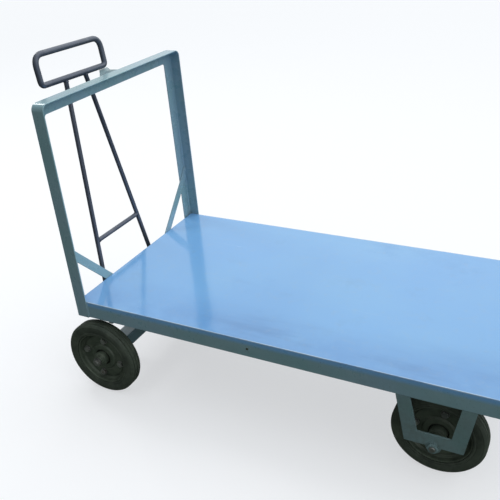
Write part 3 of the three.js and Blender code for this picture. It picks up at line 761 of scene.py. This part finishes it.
def front_truck():
    left_tyre = middle("tyre_front_left").y
    refined("front_axle_beam", "front_truck", "truck", 5.0, 4)
    for name in ("front", "rear"):
        refined("axle_stand_" + name, "front_truck", "truck", 1.2)
    for name, sign in SIDES:
        refined("tow_arm_" + name, "front_truck", "truck", 1.2)
        place = side_place(middle("tyre_front_" + name), sign)
        tip, root = (v.y - left_tyre for v in corners("stub_axle_left"))
        stub = Shape()
        stub.add(sweep([(0, tip, 0), (0, root, 0)], AXLE_RADIUS, 40, chamfer=1.6), place)
        flange = [(4, root - 4), (18, root - 4), (18, root), (4, root)]
        stub.add(lathe(rounded(flange, 0.8, 2), 64), place)
        piece_from(stub, "visual_stub_axle_" + name, "front_truck", "zinc", ["stub_axle_" + name])
        near, far = (v.y - left_tyre for v in corners("stub_axle_nut_left"))
        nut = Shape()
        nut.add(hexagon(STUB_FLATS, AXLE_RADIUS + 0.2, near, far - 2.6), place)
        nut.add(washer(17, AXLE_RADIUS + 0.3, far - 2.5, far), place)
        piece_from(
            nut, "visual_stub_axle_nut_" + name, "front_truck", "zinc", ["stub_axle_nut_" + name]
        )
        tow_pin(name, sign)


def tow_pin(name, sign):
    """A hinge pin with a flat head inside its arm, and a washer and split pin outside the eye."""
    low, high = corners("tow_pin_left")
    place = side_place(Vector((HINGE.x, 0, HINGE.z)), sign)
    head = [(0, high.y), (13, high.y), (13, high.y - 7), (8, high.y - 7)]
    head = rounded(head, 1.2, 3, closed=False)
    shank = [(8, low.y + 10), (8, low.y + 1.2), (6.8, low.y), (0, low.y)]
    pin = Shape().add(lathe([*head, *shank], 56, closed=False), place)
    ring = [(8.2, low.y + 8.2), (12, low.y + 8.2), (12, low.y + 5.6), (8.2, low.y + 5.6)]
    pin.add(lathe(rounded(ring, 0.5, 2), 48), place)
    y = low.y + 3.4
    for side in (1, -1):
        leg = [(-11.0, y, 2.5), (-9.0, y, 0.8), (10.0, y, 0.8), (12.2, y - 1.2, 3.2)]
        path = rounded([Vector((x, along, side * z)) for x, along, z in leg], 2, 3, closed=False)
        pin.add(sweep(path, 0.95, 10, chamfer=0.3), place)
    piece_from(pin, "visual_tow_pin_" + name, "front_truck", "zinc", ["tow_pin_" + name])


# Wheels. The outer side faces -Y while they are drawn.


def tyre():
    """A solid tyre: bead, bulged wall with raised rings, rounded shoulders and a grooved tread."""
    side = [
        (108.0, 27.0, 1.0),
        (113.0, 28.2, 2.0),
        (117.0, 26.6, 1.0),
        (120.0, 28.0, 2.0),
        (128.0, 29.0, 6.0),
        (135.0, 28.6, 1.0),
        (137.5, 27.4, 0.8),
        (140.5, 28.2, 2.0),
        (147.5, 22.0, 5.0),
    ]
    tread = [
        (149.6, 18.4, 1.0),
        (149.8, 16.6, 0.6),
        (146.2, 15.6, 0.8),
        (146.2, 13.4, 0.8),
        (150.0, 12.2, 0.6),
        (150.0, 3.0, 0.6),
        (146.2, 1.8, 0.8),
    ]
    half = side + tread
    outer = [(r, -y, f) for r, y, f in half]
    inner = [(r, y, f) for r, y, f in reversed(half)]
    return lathe(rounded(outer + inner, 1.0, 3), 144)


def disc():
    """A pressed disc: rolled rim, deep outer well, a stiffening swage and a raised middle."""
    profile = [
        (RIM_RADIUS, -23.0, 1.5),
        (RIM_RADIUS - 1.2, -25.0, 1.2),
        (RIM_RADIUS - 4.2, -25.0, 1.4),
        (RIM_RADIUS - 5.6, -22.0, 2.0),
        (RIM_RADIUS - 6.4, -11.0, 5.0),
        (RIM_RADIUS - 11.5, -3.2, 5.0),
        (90.5, -3.0, 1.5),
        (87.0, -5.6, 1.5),
        (62.0, -5.6, 2.0),
        (55.0, -3.6, 2.5),
        (50.0, -10.0, 3.0),
        (33.5, -11.0, 1.5),
        (31.0, -9.5, 0.8),
        (31.0, -3.0, 0.5),
        (48.0, -1.0, 2.0),
        (58.0, 3.0, 3.0),
        (RIM_RADIUS - 9.5, 3.8, 4.0),
        (RIM_RADIUS - 5.2, 9.0, 3.0),
        (RIM_RADIUS - 4.6, 23.0, 1.5),
        (RIM_RADIUS - 1.2, 25.0, 1.2),
        (RIM_RADIUS, 23.0, 1.5),
    ]
    return lathe(rounded(profile, 1.0, 4), 144)


def hub(near, far):
    """A turned hub from near to far: stepped barrel, chamfered ends and a flange behind the disc."""
    profile = [
        (HUB_BORE, near + 1.2, 0.3),
        (HUB_BORE + 1.4, near, 0.3),
        (18.6, near, 0.6),
        (20.0, near + 1.6, 0.6),
        (20.0, -33.0, 2.0),
        (27.0, -29.0, 2.0),
        (28.0, -25.0, 1.5),
        (28.0, 4.4, 2.0),
        (90.5, 4.4, 0.6),
        (92.0, 5.4, 0.6),
        (92.0, 9.2, 0.8),
        (90.5, 10.2, 0.6),
        (34.0, 10.2, 5.0),
        (28.0, 16.0, 5.0),
        (28.0, 30.0, 2.0),
        (20.0, 35.0, 2.0),
        (20.0, far - 1.4, 0.6),
        (18.8, far, 0.6),
        (HUB_BORE + 1.2, far, 0.3),
        (HUB_BORE, far - 1.2, 0.3),
    ]
    return lathe(rounded(profile, 1.0, 3), 96)


BOLT_CIRCLE = 77
FIRST_BOLT = 78  # degrees


def bolts():
    """Four wheel bolts: hexagon heads on washers in front, nuts and threaded ends behind."""
    made = Shape()
    for k in range(4):
        a = math.radians(FIRST_BOLT + 90 * k)
        spin = Matrix.Rotation(math.radians(17 + 40 * k), 4, "Y")
        at = Matrix.Translation((BOLT_CIRCLE * math.cos(a), 0, BOLT_CIRCLE * math.sin(a))) @ spin
        made.add(washer(14.0, BOLT_RADIUS + 0.5, -8.0, -5.4), at)
        made.add(hexagon(BOLT_FLATS, 0, -15.2, -8.0), at)
        made.add(hexagon(BOLT_FLATS, BOLT_RADIUS + 0.2, 10.4, 19.0), at)
        made.add(sweep([(0, -9, 0), (0, 24, 0)], BOLT_RADIUS, 24, chamfer=1.2), at)
    return made


def grease_nipple(near):
    """A small greaser screwed into the hub's barrel."""
    profile = [
        (3.6, 0),
        (3.6, 3.0),
        (2.2, 3.6),
        (2.2, 5.4),
        (3.1, 6.6),
        (2.0, 8.4),
        (0, 8.8),
    ]
    turned = lathe([(0, -2), (3.6, -2), *profile], 24, closed=False)
    place = Matrix.Translation((0, near, 19)) @ Matrix.Rotation(math.pi / 2, 4, "X")
    return turned, place


def wheels():
    fasteners = bolts()
    for end in ("front", "rear"):
        low, high = corners(f"hub_{end}_left")
        centre = middle(f"tyre_{end}_left")
        near, far = low.y - centre.y, high.y - centre.y
        for name, sign in SIDES:
            key = f"{end}_{name}"
            body = "wheel_" + key
            place = side_place(middle("tyre_" + key), sign)
            for shape, node, look in ((tyre(), "tyre_", "rubber"), (disc(), "wheel_disc_", "wheel")):
                node += key
                piece_from(Shape().add(shape, place), "visual_" + node, body, look, [node], 40)
            middle_part = Shape().add(hub(near, far), place)
            nipple, at = grease_nipple(-38 if end == "front" else 42)
            middle_part.add(nipple, place @ at)
            piece_from(middle_part, "visual_hub_" + key, body, "wheel", ["hub_" + key], 40)
            held = Shape().add((fasteners.verts, fasteners.faces), place)
            piece_from(held, "visual_wheel_bolts_" + key, body, "bolt", ["wheel_disc_" + key])


# Tow bar: drawn standing on its hinge, then leaned forward as the frame has it

CROSSBAR = middle("handle_crossbar")
LEAN = math.atan2(HINGE.x - CROSSBAR.x, CROSSBAR.z - HINGE.z)
UPRIGHT = Matrix.Translation((HINGE.x, 0, HINGE.z)) @ Matrix.Rotation(-LEAN, 4, "Y")
CROSSBAR_AT = math.hypot(CROSSBAR.x - HINGE.x, CROSSBAR.z - HINGE.z)
ROD_RADIUS = 9.0
GRIP_RADIUS = 11.0
EYE_RADIUS = 17.0
EYE_SPAN = abs(HINGE.y)
TAPER = 0.1278
GRIP_HALF = corners("handle_loop")[1].y - GRIP_RADIUS


def loop_top():
    low, high = corners("handle_loop")
    return (high.z - GRIP_RADIUS - HINGE.z) / math.cos(LEAN)


def rung_at():
    rung = middle("tow_bar_rung")
    return math.hypot(rung.x - HINGE.x, rung.z - HINGE.z)


def rod_y(along, sign):
    return sign * (EYE_SPAN - along * TAPER)


def tow_bar():
    for name, sign in SIDES:
        foot, head = EYE_RADIUS - 2.0, CROSSBAR_AT + HANDLE_RISE - 4
        path = [Vector((0, rod_y(foot, sign), foot)), Vector((0, rod_y(head, sign), head))]
        rod = Shape().add(sweep(path, ROD_RADIUS, 40), UPRIGHT)
        piece_from(rod, "visual_tow_rod_" + name, "tow_bar", "dark", ["tow_rod_" + name])
        low, high = corners("tow_eye_" + name)
        half = (high.y - low.y) / 2
        profile = [(8.6, -half), (EYE_RADIUS, -half), (EYE_RADIUS, half), (8.6, half)]
        eye = lathe(rounded(profile, 1.2, 3), 72)
        place = UPRIGHT @ Matrix.Translation((0, sign * EYE_SPAN, 0))
        ring = Shape().add(eye, place)
        piece_from(ring, "visual_tow_eye_" + name, "tow_bar", "dark", ["tow_eye_" + name])
    along = rung_at()
    ends = [Vector((0, rod_y(along, sign), along)) for sign in (-1, 1)]
    inset = (ends[1] - ends[0]).normalized() * 3
    rung = Shape().add(sweep([ends[0] + inset, ends[1] - inset], ROD_RADIUS, 40), UPRIGHT)
    piece_from(rung, "visual_tow_bar_rung", "tow_bar", "dark", ["tow_bar_rung"])
    handle()


HANDLE_TILT = math.radians(-1.3)  # it sits a little askew on its rods
HANDLE_RISE = 3.6


def handle():
    """One closed ring of round bar: tight lower corners, wide upper ones."""
    top = loop_top()

    def corner(y, z, towards_y, towards_z, radius, steps):
        points = [Vector((0, y, z + towards_z)), Vector((0, y, z)), Vector((0, y + towards_y, z))]
        return rounded(points, radius, steps, closed=False)[1:-1]

    low_left = corner(-GRIP_HALF, CROSSBAR_AT, 60, 60, 17, 8)
    high_right = corner(GRIP_HALF, top, -90, -90, 42, 12)
    low_right = [Vector((0, -p.y, p.z)) for p in reversed(low_left)]
    high_left = [Vector((0, -p.y, p.z)) for p in reversed(high_right)]
    centre = Matrix.Translation((0, 0, CROSSBAR_AT))
    raised = Matrix.Translation((0, 0, CROSSBAR_AT + HANDLE_RISE))
    askew = raised @ Matrix.Rotation(HANDLE_TILT, 4, "X") @ centre.inverted()
    path = [*low_left, *low_right, *high_right, *high_left]
    ring = Shape().add(sweep(path, GRIP_RADIUS, 40, loop=True), UPRIGHT @ askew)
    piece_from(ring, "visual_handle", "tow_bar", "dark", ["handle_crossbar", "handle_loop"])


# Welds: the radii of their beads, and the half widths of the axle stands' welded edges

ROD_BEAD = 2.2
RUNG_BEAD = 2.0
FRAME_BEAD = 2.4
PLATE_BEAD = 2.6
BEAM_BEAD = 2.8
STAND_HEAD = 54
STAND_FOOT = 70


def ring_path(centre, axis, radius, steps=28):
    """Points on a ring about an axis, in millimetres."""
    axis = Vector(axis).normalized()
    across = axis.orthogonal().normalized()
    side = axis.cross(across)
    made = []
    for k in range(steps + 1):
        a = 2 * math.pi * k / steps
        made.append(Vector(centre) + (across * math.cos(a) + side * math.sin(a)) * radius)
    return made


class Welds:
    """Weld beads gathered for one piece. Each bead has the next seed."""

    def __init__(self, first_seed):
        self.shape, self.seed = Shape(), first_seed

    def run(self, path, radius, place=None):
        self.seed += 1
        self.shape.add(bead([Vector(point) for point in path], radius, self.seed), place)

    def finish(self, name, body, look):
        piece_from(self.shape, name, body, look, sharp=60)


def tow_bar_welds():
    welds = Welds(0)
    for _, sign in SIDES:
        slope = Vector((0, -sign * TAPER, 1)).normalized()
        head = CROSSBAR_AT + HANDLE_RISE - GRIP_RADIUS - 0.2
        for along, size in ((EYE_RADIUS + 0.5, ROD_RADIUS + 0.6), (head, ROD_RADIUS + 0.4)):
            welds.run(ring_path((0, rod_y(along, sign), along), slope, size), ROD_BEAD, UPRIGHT)
        along = rung_at()
        centre = (0, rod_y(along, sign) - sign * ROD_RADIUS, along)
        welds.run(ring_path(centre, (0, 1, 0), ROD_RADIUS + 0.3), RUNG_BEAD, UPRIGHT)
    welds.finish("tow_bar_welds", "tow_bar", "dark")


def truck_welds():
    welds = Welds(20)
    beam_low, beam_high = corners("front_axle_beam")
    face = beam_low.x - 0.8
    for name, _ in SIDES:
        low, high = corners("tow_arm_" + name)
        for y in (low.y - 0.6, high.y + 0.6):
            welds.run([(face, y, low.z + 6), (face, y, high.z - 3)], PLATE_BEAD)
    for end in ("front", "rear"):
        low, high = corners("axle_stand_" + end)
        outer, inner = (low.x - 0.6, high.x - 0.5) if end == "front" else (high.x + 0.6, low.x + 0.5)
        top, foot = high.z - 0.8, beam_high.z + 0.6
        welds.run([(outer, -STAND_HEAD, top), (outer, STAND_HEAD, top)], PLATE_BEAD)
        welds.run([(inner, -STAND_FOOT, foot), (inner, STAND_FOOT, foot)], BEAM_BEAD)
    welds.finish("truck_welds", "front_truck", "truck")


def chassis_welds():
    welds = Welds(40)
    under = RAIL_BOTTOM - 7
    for name, sign in SIDES:
        low, high = corners("rear_fork_plate_" + name)
        inner = sign * (HALF_WIDTH - 6.6)
        for start, end in ((low.x + 6, low.x + 40), (high.x - 40, high.x - 6)):
            welds.run([(start, inner, under), (end, inner, under)], PLATE_BEAD)
        low, high = corners("hoop_brace_" + name)
        y = sign * (max(abs(low.y), abs(high.y)) - 0.5)
        welds.run([(high.x, y, high.z - 30), (high.x, y, high.z - 4)], FRAME_BEAD)
        lap, y = HOOP_REAR + 0.4, sign * (HALF_WIDTH + 0.4)
        welds.run([(lap, y, RAIL_BOTTOM + 4), (lap, y, DECK_TOP - 5)], PLATE_BEAD)
    high = corners("parking_catch")[1]
    welds.run([(high.x, -40, high.z - 5.6), (high.x, 80, high.z - 5.6)], FRAME_BEAD)
    welds.finish("chassis_welds", "chassis", "frame")


chassis()
rail_plugs()
rear_axles()
turntable()
front_truck()
wheels()
tow_bar()
tow_bar_welds()
truck_welds()
chassis_welds()


# Setting: pale floor, soft light mostly from above and behind, and the camera

FLOOR_HALF = 40.0
FLOOR_DROP = 0.0005  # below the tyres
CAMERA_FROM_DECK = Vector((1.6513, -1.97829, 1.68047))  # from the floor below the front edge's middle
CAMERA_AZIMUTH, CAMERA_ELEVATION, CAMERA_ROLL = (math.radians(a) for a in (29.719, 27.698, -5.096))
CAMERA_LENS = 49.27
SENSOR_WIDTH = 36


def floor():
    made = bmesh.new()
    spots = [(-1, -1), (1, -1), (1, 1), (-1, 1)]
    made.faces.new([made.verts.new((x * FLOOR_HALF, y * FLOOR_HALF, -FLOOR_DROP)) for x, y in spots])
    mesh = bpy.data.meshes.new("floor")
    made.to_mesh(mesh)
    made.free()
    plane = bpy.data.objects.new("floor", mesh)
    SCENE.collection.objects.link(plane)
    p = Paint("floor")
    mesh.materials.append(
        p.finish(
            (0.40, 0.40, 0.41), 0.9, Emission_Color=(0.97, 0.98, 1.0), Emission_Strength=0.58
        )
    )
    plane.visible_diffuse = False
    plane.visible_glossy = False
    plane.visible_shadow = False


def surroundings():
    """Light from around: dim on the near side, bright on the far side, dark below."""
    world = bpy.data.worlds.new("studio")
    world.use_nodes = True
    SCENE.world = world
    tree = world.node_tree
    tree.nodes.clear()
    new, join = tree.nodes.new, tree.links.new
    direction = new("ShaderNodeTexCoord").outputs["Generated"]
    dot = new("ShaderNodeVectorMath")
    dot.operation = "DOT_PRODUCT"
    dot.inputs[1].default_value = (0.60, 0.68, 0.42)
    join(direction, dot.inputs[0])

    def smooth(value, low, high, out_low, out_high):
        made = new("ShaderNodeMapRange")
        made.interpolation_type = "SMOOTHSTEP"
        join(value, made.inputs["Value"])
        for key, number in zip(RANGE_ENDS, (low, high, out_low, out_high)):
            made.inputs[key].default_value = number
        return made.outputs["Result"]

    sky = smooth(dot.outputs["Value"], -0.45, 0.80, 0.25, 1.35)
    split = new("ShaderNodeSeparateXYZ")
    join(direction, split.inputs[0])
    above = smooth(split.outputs["Z"], -0.10, 0.04, 0.0, 1.0)
    sky_color = new("ShaderNodeBackground")
    sky_color.inputs["Color"].default_value = (0.93, 0.98, 1.0, 1)
    join(sky, sky_color.inputs["Strength"])
    yard = new("ShaderNodeBackground")
    yard.inputs["Color"].default_value = (0.070, 0.085, 0.072, 1)
    yard.inputs["Strength"].default_value = 1.0
    both = new("ShaderNodeMixShader")
    join(above, both.inputs[0])
    join(yard.outputs[0], both.inputs[1])
    join(sky_color.outputs[0], both.inputs[2])
    backdrop = new("ShaderNodeBackground")
    backdrop.inputs["Color"].default_value = (0.957, 0.985, 1.0, 1)
    seen = new("ShaderNodeMixShader")
    join(new("ShaderNodeLightPath").outputs["Is Camera Ray"], seen.inputs[0])
    join(both.outputs[0], seen.inputs[1])
    join(backdrop.outputs[0], seen.inputs[2])
    output = new("ShaderNodeOutputWorld")
    join(seen.outputs[0], output.inputs["Surface"])


def softbox(name, place, aim, size, energy):
    data = bpy.data.lights.new(name, "AREA")
    data.shape = "RECTANGLE"
    data.size, data.size_y = size
    data.energy = energy
    lamp = bpy.data.objects.new(name, data)
    SCENE.collection.objects.link(lamp)
    lamp.location = place
    lamp.rotation_mode = "QUATERNION"
    lamp.rotation_quaternion = (Vector(aim) - Vector(place)).to_track_quat("-Z", "Y")
    lamp.visible_camera = False
    return lamp


def camera():
    data = bpy.data.cameras.new("camera")
    data.lens = CAMERA_LENS
    data.sensor_width = SENSOR_WIDTH
    data.clip_start, data.clip_end = 0.05, 200
    made = bpy.data.objects.new("camera", data)
    SCENE.collection.objects.link(made)
    az, el, roll = CAMERA_AZIMUTH, CAMERA_ELEVATION, CAMERA_ROLL
    back = Vector((math.sin(az) * math.cos(el), -math.cos(az) * math.cos(el), math.sin(el)))
    right = Vector((0, 0, 1)).cross(back).normalized()
    up = back.cross(right)
    turned_right = right * math.cos(roll) + up * math.sin(roll)
    turned_up = up * math.cos(roll) - right * math.sin(roll)
    turn = Matrix((turned_right, turned_up, back)).transposed().to_4x4()
    place = Vector((DECK_LOW.x * MM, 0, 0)) + CAMERA_FROM_DECK
    made.matrix_world = Matrix.Translation(place) @ turn
    SCENE.camera = made


floor()
surroundings()
softbox("overhead", (-0.2, 1.6, 4.2), (0, 0, 0.5), (3.5, 2.5), 22)
softbox("glint", (-4.4, 1.3, 4.6), (-0.7, -0.4, 1.1), (1.2, 1.2), 45)
camera()
SCENE.view_settings.view_transform = "Standard"
